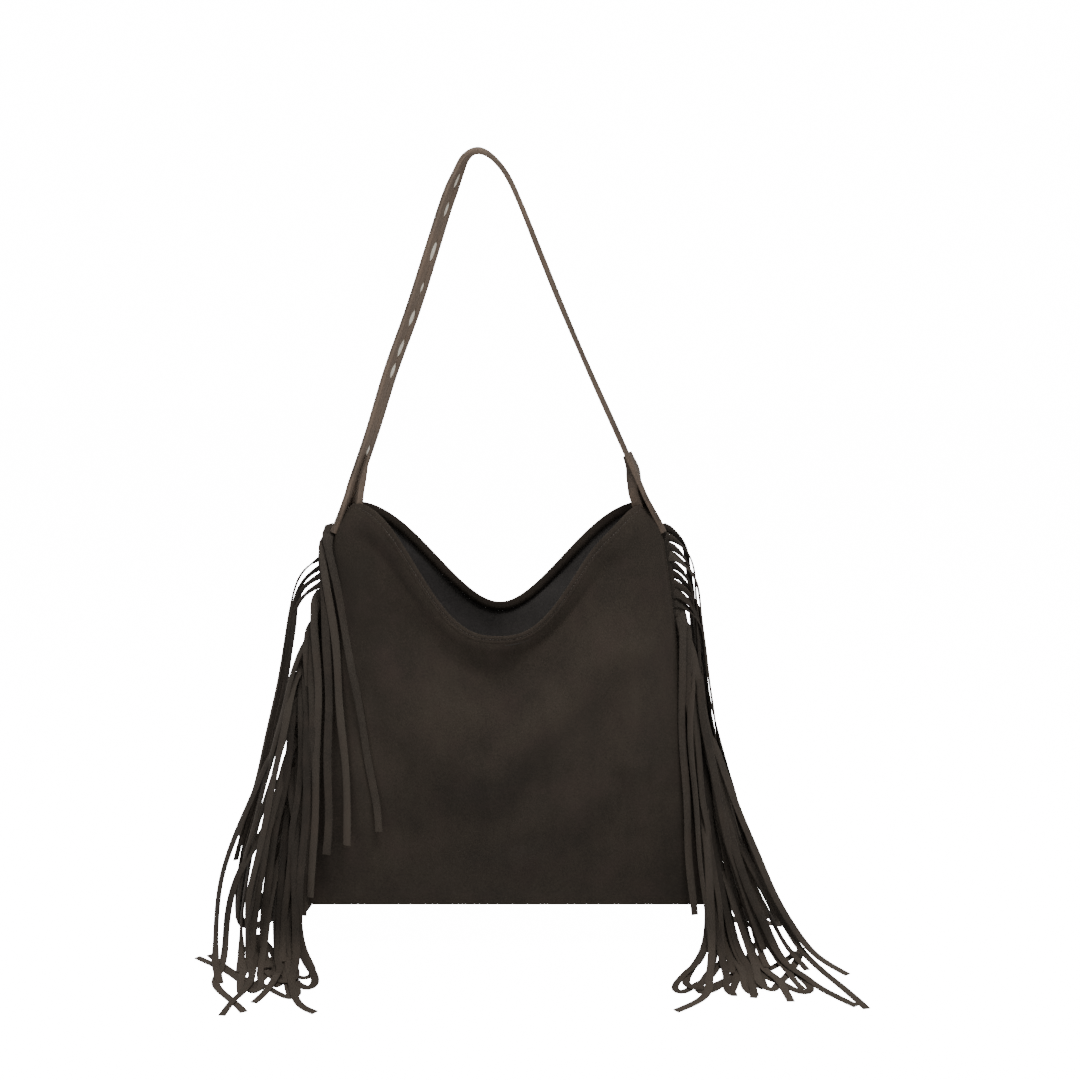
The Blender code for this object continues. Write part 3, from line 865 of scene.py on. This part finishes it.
def new_tree(name):
    tree = bpy.data.node_groups.new(name, "GeometryNodeTree")
    tree.interface.new_socket("Geometry", in_out="INPUT", socket_type="NodeSocketGeometry")
    tree.interface.new_socket("Geometry", in_out="OUTPUT", socket_type="NodeSocketGeometry")
    return tree, tree.nodes.new("NodeGroupInput"), tree.nodes.new("NodeGroupOutput")


def chain_nodes(tree, *nodes, start):
    """Links each node's first output to the next one's first input."""
    source = start
    for node in nodes:
        tree.links.new(source, node.inputs[0])
        source = node.outputs[0]
    return source


def strip_tree(material):
    tree, inputs, output = new_tree("swept_strips")
    ids = {
        "Width": named_input(tree, "Width", "NodeSocketFloat", STRIP_WIDTH),
        "Thickness": named_input(tree, "Thickness", "NodeSocketFloat", SUEDE_THICKNESS),
    }
    to_curve = tree.nodes.new("GeometryNodeMeshToCurve")
    normal = tree.nodes.new("GeometryNodeSetCurveNormal")
    normal.mode = "FREE"
    side = tree.nodes.new("GeometryNodeInputNamedAttribute")
    side.data_type = "FLOAT_VECTOR"
    side.inputs["Name"].default_value = "flat_side"
    tree.links.new(side.outputs[0], normal.inputs["Normal"])
    size = tree.nodes.new("GeometryNodeInputNamedAttribute")
    size.data_type = "FLOAT"
    size.inputs["Name"].default_value = "strip_size"
    profile = tree.nodes.new("GeometryNodeCurvePrimitiveQuadrilateral")
    tree.links.new(inputs.outputs["Thickness"], profile.inputs["Width"])
    tree.links.new(inputs.outputs["Width"], profile.inputs["Height"])
    fillet = tree.nodes.new("GeometryNodeFilletCurve")
    fillet.inputs["Radius"].default_value = SUEDE_THICKNESS * 0.3
    tree.links.new(profile.outputs[0], fillet.inputs["Curve"])
    sweep = tree.nodes.new("GeometryNodeCurveToMesh")
    sweep.inputs["Fill Caps"].default_value = True
    tree.links.new(fillet.outputs[0], sweep.inputs["Profile Curve"])
    tree.links.new(size.outputs[0], sweep.inputs["Scale"])
    realize = tree.nodes.new("GeometryNodeRealizeInstances")
    paint = tree.nodes.new("GeometryNodeSetMaterial")
    paint.inputs["Material"].default_value = material
    last = chain_nodes(tree, to_curve, normal, sweep, realize, paint, start=inputs.outputs["Geometry"])
    tree.links.new(last, output.inputs["Geometry"])
    return tree, ids


def run_tree(source, tree, ids, values, name):
    """Runs a tree on an object and keeps the result as a plain mesh object."""
    modifier = source.modifiers.new("nodes", "NODES")
    modifier.node_group = tree
    for key, value in values.items():
        modifier[ids[key]] = value
    graph = bpy.context.evaluated_depsgraph_get()
    mesh = bpy.data.meshes.new_from_object(source.evaluated_get(graph))
    mesh.name = name
    source.modifiers.remove(modifier)
    bpy.data.objects.remove(source, do_unlink=True)
    made = bpy.data.objects.new(name, mesh)
    bpy.context.scene.collection.objects.link(made)
    return made


STRIP_TREE, STRIP_IDS = strip_tree(STRIP_SUEDE)


def heading_band(side):
    """Verts and faces of the comb's heading: a thin band along the seam."""
    drops = np.linspace(HEADING_TOP_DROP, HEADING_TOP_DROP + STRIPS * STRIP_PITCH, 120)
    half = SUEDE_THICKNESS / 2
    rows = []
    for drop in drops:
        inner = CENTRE_X + side * (seam_half(drop) - 0.006)
        outer = CENTRE_X + side * (seam_half(drop) + HEADING_OUTSIDE + HEADING_PAST_ROOTS)
        rows.append([(inner, -half, -drop), (outer, -half, -drop), (outer, half, -drop), (inner, half, -drop)])
    verts = [point for row in rows for point in row]
    faces = [
        (4 * r + c, 4 * r + (c + 1) % 4, 4 * r + 4 + (c + 1) % 4, 4 * r + 4 + c)
        for r in range(len(rows) - 1)
        for c in range(4)
    ]
    last = 4 * (len(rows) - 1)
    return verts, [*faces, (3, 2, 1, 0), (last, last + 1, last + 2, last + 3)]


def make_fringe(name, strands, side):
    swept = run_tree(
        strip_chains(name + "_chains", strands, side),
        STRIP_TREE,
        STRIP_IDS,
        {"Width": STRIP_WIDTH, "Thickness": SUEDE_THICKNESS},
        name,
    )
    bm = bmesh.new()
    bm.from_mesh(swept.data)
    verts, faces = heading_band(side)
    added = [bm.verts.new(point) for point in verts]
    for face in faces:
        bm.faces.new([added[k] for k in face])
    bmesh.ops.recalc_face_normals(bm, faces=bm.faces)
    bm.to_mesh(swept.data)
    bm.free()
    swept.data.shade_smooth()
    swept.data.set_sharp_from_angle(angle=math.radians(50))
    return swept


right_fringe = make_fringe("right_fringe_strips", right_strands, 1)
left_fringe = make_fringe("left_fringe_strips", left_strands, -1)
print("fringe faces", len(right_fringe.data.polygons), len(left_fringe.data.polygons))

# %% [markdown]
# The strap is one band folded lengthwise round a pale tape, its two edges butted down the middle
# of the inner face. Where the butted edges part, the tape shows as a short pale lens. The band is
# lofted: at each station along the route the folded section is placed, turned a little towards the
# front on the left leg, and narrowed at both ends where it straddles the side seam.

# %% Strap
STRAP_WIDTH = 0.030
STRAP_THICKNESS = 0.005
STRAP_END_WIDTH = 0.013
STRAP_END_THICKNESS = 0.0068
STRAP_TAPER = 0.034
STATIONS = 300
TAPE_WIDTH = 0.022
TAPE_THICKNESS = 0.0010
STRAP_ROUTE = [
    (-0.1385, -0.3570),
    (-0.1330, -0.3450),
    (-0.1235, -0.3250),
    (-0.1170, -0.3080),
    (-0.1000, -0.2600),
    (-0.0820, -0.2040),
    (-0.0610, -0.1480),
    (-0.0430, -0.0935),
    (-0.0295, -0.0525),
    (-0.0190, -0.0256),
    (-0.0110, -0.0085),
    (0.0000, -0.0025),
    (0.0125, -0.0085),
    (0.0267, -0.0256),
    (0.0395, -0.0526),
    (0.0560, -0.0934),
    (0.0785, -0.1484),
    (0.1028, -0.2040),
    (0.1285, -0.2602),
    (0.1500, -0.3080),
    (0.1575, -0.3250),
    (0.1680, -0.3450),
    (0.1735, -0.3570),
]
# Heights on the left leg, and on the right one, where the butted seam gapes: (drop, half length, half opening)
LEFT_GAPS = [
    (0.030, 0.008, 0.0046),
    (0.056, 0.008, 0.0040),
    (0.094, 0.010, 0.0060),
    (0.127, 0.006, 0.0032),
    (0.155, 0.008, 0.0058),
    (0.183, 0.009, 0.0054),
    (0.204, 0.008, 0.0054),
    (0.279, 0.006, 0.0036),
]
RIGHT_GAPS = [(0.045, 0.009, 0.0024), (0.110, 0.009, 0.0032)]
RIGHT_GAPS += [(0.160, 0.008, 0.0026), (0.232, 0.009, 0.0030)]
LEFT_TURN = math.radians(-17)
# The tape lies against the inner layer and swells into the open places
TAPE_SET = 0.0006
TAPE_SWELL = 0.0011
TAPE_CROWN = ((1, 0), (0.6, 0.9), (0, 1), (-0.6, 0.9), (-1, 0))


def strap_line():
    route = np.array([(x, 0.0, z) for x, z in STRAP_ROUTE])
    line = smooth_line(route[None], 24)[0]
    steps = np.linalg.norm(np.diff(line, axis=0), axis=1)
    lengths = np.concatenate([[0], np.cumsum(steps)])
    want = np.linspace(0, lengths[-1], STATIONS + 1)
    return np.stack([np.interp(want, lengths, line[:, k]) for k in range(3)], axis=1), want


def seam_opening(point):
    gaps = LEFT_GAPS if point[0] < 0 else RIGHT_GAPS
    opening = 0.0002
    for drop, half, wide in gaps:
        off = abs(-point[2] - drop) / half
        if off < 1:
            opening = max(opening, wide * (1 - off * off))
    return opening


def folded_section(width, thickness, slit):
    """Outer then inner (across, out) points of the folded band, starting at the butted edge."""
    section = []
    for inset, order in ((0.0, 1), (SUEDE_THICKNESS, -1)):
        radius = thickness / 2 - inset
        lip = 0.00035 if inset == 0 else 0.0
        bend = width / 2 - thickness / 2
        line = [(slit, -radius + lip), (slit + 0.0010, -radius), (width * 0.2, -radius), (bend, -radius)]
        for angle in (-60, -30, 0, 30, 60):
            turn = math.radians(angle)
            line.append((bend + radius * math.cos(turn), radius * math.sin(turn)))
        line += [(bend, radius), (width * 0.2, radius)]
        line += [(-across, out) for across, out in reversed(line)]
        section += line[::order]
    return section


def strap_frames():
    line, length = strap_line()
    total = length[-1]
    run = unit(np.gradient(line, axis=0))
    out = np.stack([-run[:, 2], np.zeros(len(run)), run[:, 0]], axis=1)
    to_end = np.minimum(length, total - length)
    share = np.clip(to_end / STRAP_TAPER, 0, 1)
    share = share * share * (3 - 2 * share)
    width = STRAP_END_WIDTH + (STRAP_WIDTH - STRAP_END_WIDTH) * share
    thickness = STRAP_END_THICKNESS + (STRAP_THICKNESS - STRAP_END_THICKNESS) * share
    left = np.clip((-line[:, 0] - 0.004) / 0.02, 0, 1) * np.clip(to_end / 0.05, 0, 1)
    turn = LEFT_TURN * left + math.radians(1.5) * np.sin(length * 21)
    pinch = np.exp(-((line[:, 0] / 0.012) ** 2))
    return line, out, width, thickness, turn, pinch, to_end, length


def strap_ring(centre, out, turn, section, pinch):
    across_way = np.array([0, math.cos(turn), 0]) + out * math.sin(turn)
    out_way = out * math.cos(turn) - np.array([0, math.sin(turn), 0])
    points = []
    for across, away in section:
        droop = -pinch * 0.16 * across * across / 0.015
        points.append(centre + across_way * across * (1 - 0.12 * pinch) + out_way * (away + droop))
    return points


def loft(rings, closed_section=True):
    """Verts and faces of a closed skin over rings. A closed_section ring is a band's outside, then inside."""
    count = len(rings[0])
    verts = [point for ring in rings for point in ring]
    faces = [
        (r * count + k, r * count + (k + 1) % count, (r + 1) * count + (k + 1) % count, (r + 1) * count + k)
        for r in range(len(rings) - 1)
        for k in range(count)
    ]
    half = count // 2
    for start, flip in ((0, 1), ((len(rings) - 1) * count, -1)):
        if closed_section:
            end = start + count - 1
            faces += [tuple((start + k, start + k + 1, end - 1 - k, end - k)[::flip]) for k in range(half - 1)]
        else:
            faces.append(tuple(range(start, start + count))[::flip])
    return verts, faces


def lofted(name, skins, material):
    """One object from several skins."""
    verts, faces = [], []
    for skin_verts, skin_faces in skins:
        faces += [tuple(k + len(verts) for k in face) for face in skin_faces]
        verts += skin_verts
    made = mesh_object(name, verts, faces, material)
    bm = bmesh.new()
    bm.from_mesh(made.data)
    bmesh.ops.recalc_face_normals(bm, faces=bm.faces)
    bm.to_mesh(made.data)
    bm.free()
    made.data.shade_smooth()
    made.data.set_sharp_from_angle(angle=math.radians(60))
    return made


# The inner layer of each end, as (x, z) from inside the fold to inside the bag
LEFT_TONGUE = [(-0.1078, -0.2830), (-0.1115, -0.2990), (-0.1145, -0.3140), (-0.1160, -0.3270)]
LEFT_TONGUE += [(-0.1180, -0.3420)]
RIGHT_TONGUE = [(0.1392, -0.2830), (0.1440, -0.2960), (0.1458, -0.3080), (0.1472, -0.3190)]
RIGHT_TONGUE += [(0.1520, -0.3340)]
TONGUE_WIDTH = 0.024
TONGUE_STEPS = 8
LEFT_TONGUE_TURN = math.radians(-24)
RIGHT_TONGUE_TURN = math.radians(16)


def tongue(route, turn, thickness):
    line = smooth_line(np.array([(x, 0.0, z) for x, z in route])[None], TONGUE_STEPS)[0]
    run = unit(np.gradient(line, axis=0))
    out = np.stack([-run[:, 2], np.zeros(len(run)), run[:, 0]], axis=1)
    rings = []
    for k, centre in enumerate(line):
        share = k / len(line)
        half = TONGUE_WIDTH / 2 * (1 - 0.30 * share)
        thick = thickness / 2 * (0.4 + 0.6 * smooth_step(share * 2.5))
        ring = [(half, 0), (half * 0.96, thick), (0, thick), (-half * 0.96, thick)]
        ring += [(-half, 0), (-half * 0.96, -thick), (0, -thick), (half * 0.96, -thick)]
        rings.append(strap_ring(centre, out[k], turn, ring, 0.0))
    return loft(rings, closed_section=False)


def make_strap():
    line, out, width, thickness, turn, pinch, _, length = strap_frames()
    rings, strap_painted_shade, strap_painted_light = [], [], []
    for k in range(len(line)):
        section = folded_section(width[k], thickness[k], seam_opening(line[k]))
        rings.append(strap_ring(line[k], out[k], turn[k], section, pinch[k]))
        for across, away in section:
            # Painted light: the inner face is lighter than the outer one, most along its middle, and the
            # folded edges get a painted highlight
            inside = 1.0 if away < -0.0005 else 0.0
            fold = abs(across) / (width[k] / 2)
            strap_painted_shade.append(0.45 + 0.45 * inside)
            strap_painted_light.append(inside * 0.22 * (1 - 0.5 * fold) + 0.05 * max(fold - 0.9, 0) * 10)
    skins = [loft(rings), tongue(LEFT_TONGUE, LEFT_TONGUE_TURN, 0.0060)]
    skins.append(tongue(RIGHT_TONGUE, RIGHT_TONGUE_TURN, 0.0095))
    # Painted light on the left end's inner layer, painted shade on the right end's
    strap_painted_shade += [0.75] * len(skins[1][0]) + [0.25] * len(skins[2][0])
    strap_painted_light += [0.08] * len(skins[1][0]) + [0.0] * len(skins[2][0])
    made = lofted("shoulder_strap_band", skins, STRAP_SUEDE)
    set_floats(made.data, "strap_painted_shade", strap_painted_shade)
    set_floats(made.data, "strap_painted_light", strap_painted_light)
    return made, float(length[-1])


def make_tape():
    line, out, _, _, turn, pinch, to_end, _ = strap_frames()
    half, thick = TAPE_WIDTH / 2, TAPE_THICKNESS / 2
    rings = []
    for k, centre in enumerate(line):
        if to_end[k] < STRAP_TAPER * 0.9:
            continue
        opening = seam_opening(centre)
        swell = TAPE_SWELL * min(opening / 0.0030, 1.0)
        inner = [(across * opening, -thick - swell * rise) for across, rise in TAPE_CROWN]
        section = [(-half, thick), (half, thick), (half, -thick), *inner, (-half, -thick)]
        section = [(across, away - TAPE_SET) for across, away in section]
        rings.append(strap_ring(centre, out[k], turn[k], section, pinch[k]))
    return lofted("strap_tape_cloth", [loft(rings, closed_section=False)], TAPE_CLOTH)


shoulder_strap, strap_length = make_strap()
strap_tape = make_tape()
print("strap", round(strap_length, 3), "m long")

# %% [markdown]
# The rim is stitched just below its turned edge. Stitches repeat along a path, so a small tree
# resamples the path at the stitch pitch and sets a short thread on each point, turned along it.

# %% Stitches
STITCH_PITCH = 0.0032
STITCH_LENGTH = 0.0024
THREAD_RADIUS = 0.00028


def stitch_tree(material):
    tree, inputs, output = new_tree("stitch_row")
    ids = {
        "Pitch": named_input(tree, "Pitch", "NodeSocketFloat", STITCH_PITCH),
        "Length": named_input(tree, "Length", "NodeSocketFloat", STITCH_LENGTH),
        "Thread": named_input(tree, "Thread", "NodeSocketFloat", THREAD_RADIUS),
    }
    to_curve = tree.nodes.new("GeometryNodeMeshToCurve")
    points = tree.nodes.new("GeometryNodeCurveToPoints")
    points.mode = "LENGTH"
    tree.links.new(inputs.outputs["Geometry"], to_curve.inputs[0])
    tree.links.new(to_curve.outputs[0], points.inputs["Curve"])
    tree.links.new(inputs.outputs["Pitch"], points.inputs["Length"])
    stitch = tree.nodes.new("GeometryNodeMeshCylinder")
    stitch.inputs["Vertices"].default_value = 6
    tree.links.new(inputs.outputs["Thread"], stitch.inputs["Radius"])
    tree.links.new(inputs.outputs["Length"], stitch.inputs["Depth"])
    instances = tree.nodes.new("GeometryNodeInstanceOnPoints")
    tree.links.new(points.outputs["Points"], instances.inputs["Points"])
    tree.links.new(stitch.outputs["Mesh"], instances.inputs["Instance"])
    tree.links.new(points.outputs["Rotation"], instances.inputs["Rotation"])
    realize = tree.nodes.new("GeometryNodeRealizeInstances")
    paint = tree.nodes.new("GeometryNodeSetMaterial")
    paint.inputs["Material"].default_value = material
    last = chain_nodes(tree, realize, paint, start=instances.outputs[0])
    tree.links.new(last, output.inputs["Geometry"])
    return tree, ids


STITCH_TREE, STITCH_IDS = stitch_tree(THREAD)


def stitch_row(name, points):
    mesh = bpy.data.meshes.new(name + "_path")
    mesh.from_pydata([tuple(p) for p in points], [(k, k + 1) for k in range(len(points) - 1)], [])
    path = bpy.data.objects.new(name + "_path", mesh)
    bpy.context.scene.collection.objects.link(path)
    values = {"Pitch": STITCH_PITCH, "Length": STITCH_LENGTH, "Thread": THREAD_RADIUS}
    made = run_tree(path, STITCH_TREE, STITCH_IDS, values, name)
    made.data.shade_smooth()
    return made


def rim_stitches(name, shape):
    across = np.linspace(-0.965, 0.965, 160)
    below = 0.0025 / (BOTTOM_DROP - CORNER_DROP - shape["sag"] * 0.5)
    points = panel_points(across, np.full(160, below), shape)
    points[:, 1] += shape["side"] * (SUEDE_THICKNESS / 2 + THREAD_RADIUS * 0.3)
    return stitch_row(name, points)


front_stitches = rim_stitches("front_rim_stitches", FRONT)
back_stitches = rim_stitches("back_rim_stitches", BACK)
print("stitch faces", len(front_stitches.data.polygons))

# %% [markdown]
# Every piece now rides on the root body, and the plain solid that it stands for is hidden.
# The bag has no joints, so there is one body.

# %% Hand over to the frame
PARTS = {
    "front_panel": (front_panel, "suede"),
    "back_panel": (back_panel, "suede"),
    "left_fringe": (left_fringe, "suede_strip"),
    "right_fringe": (right_fringe, "suede_strip"),
    "shoulder_strap": (shoulder_strap, "suede_strap"),
    "strap_tape": (strap_tape, "cream_tape"),
}
for node, (piece, slot_name) in PARTS.items():
    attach(piece, "root")
    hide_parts(node)
for piece in (front_stitches, back_stitches):
    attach(piece, "root")

print("pieces", len(PARTS) + 2)

# %% [markdown]
# A pale floor under the fringe, a white surround and three large soft lights make the plain studio.

# %% Floor and light
FLOOR_GAP = 0.0006
BACKDROP = 16.0
FLOOR_GLOW = 15.4


def camera_only(tree, lit, seen):
    """Mixes two shaders so that only the camera sees the second one."""
    mixer = tree.nodes.new("ShaderNodeMixShader")
    tree.links.new(tree.nodes.new("ShaderNodeLightPath").outputs["Is Camera Ray"], mixer.inputs["Fac"])
    tree.links.new(lit, mixer.inputs[1])
    tree.links.new(seen, mixer.inputs[2])
    return mixer.outputs[0]


floor_z = FLOOR - FLOOR_GAP
corners = [(-6, -4, floor_z), (6, -4, floor_z), (6, 6, floor_z), (-6, 6, floor_z)]
floor_material, floor_tree, floor_shader = new_material("floor")
floor_shader.inputs["Base Color"].default_value = (0.93, 0.93, 0.93, 1)
floor_shader.inputs["Roughness"].default_value = 0.9
glow = floor_tree.nodes.new("ShaderNodeEmission")
glow.inputs["Strength"].default_value = FLOOR_GLOW
both = floor_tree.nodes.new("ShaderNodeAddShader")
floor_tree.links.new(floor_shader.outputs[0], both.inputs[0])
floor_tree.links.new(glow.outputs[0], both.inputs[1])
floor_end = floor_tree.nodes["Material Output"].inputs["Surface"]
floor_tree.links.new(camera_only(floor_tree, floor_shader.outputs[0], both.outputs[0]), floor_end)
floor = mesh_object("floor", corners, [(0, 1, 2, 3)], floor_material, smooth=False)


def soft_light(name, place, target, size, power):
    data = bpy.data.lights.new(name, "AREA")
    data.shape = "DISK"
    data.size = size
    data.energy = power
    light = bpy.data.objects.new(name, data)
    bpy.context.scene.collection.objects.link(light)
    light.location = place
    light.rotation_euler = (Vector(target) - Vector(place)).to_track_quat("-Z", "Y").to_euler()


soft_light("key", (0.35, -1.0, 1.6), (0, 0, -0.5), 0.7, 46)
soft_light("fill", (-1.6, -1.4, 0.3), (0, 0, -0.5), 1.4, 6)
soft_light("top", (0.1, 0.4, 1.6), (0, 0, -0.4), 1.4, 16)
world = bpy.data.worlds.new("studio")
bpy.context.scene.world = world
world.use_nodes = True
surround = world.node_tree.nodes["Background"]
surround.inputs["Color"].default_value = (1, 1, 1, 1)
surround.inputs["Strength"].default_value = 0.34
backdrop = world.node_tree.nodes.new("ShaderNodeBackground")
backdrop.inputs["Color"].default_value = (1, 1, 1, 1)
backdrop.inputs["Strength"].default_value = BACKDROP
world_end = world.node_tree.nodes["World Output"].inputs["Surface"]
world.node_tree.links.new(camera_only(world.node_tree, surround.outputs[0], backdrop.outputs[0]), world_end)
print("lights", 3)
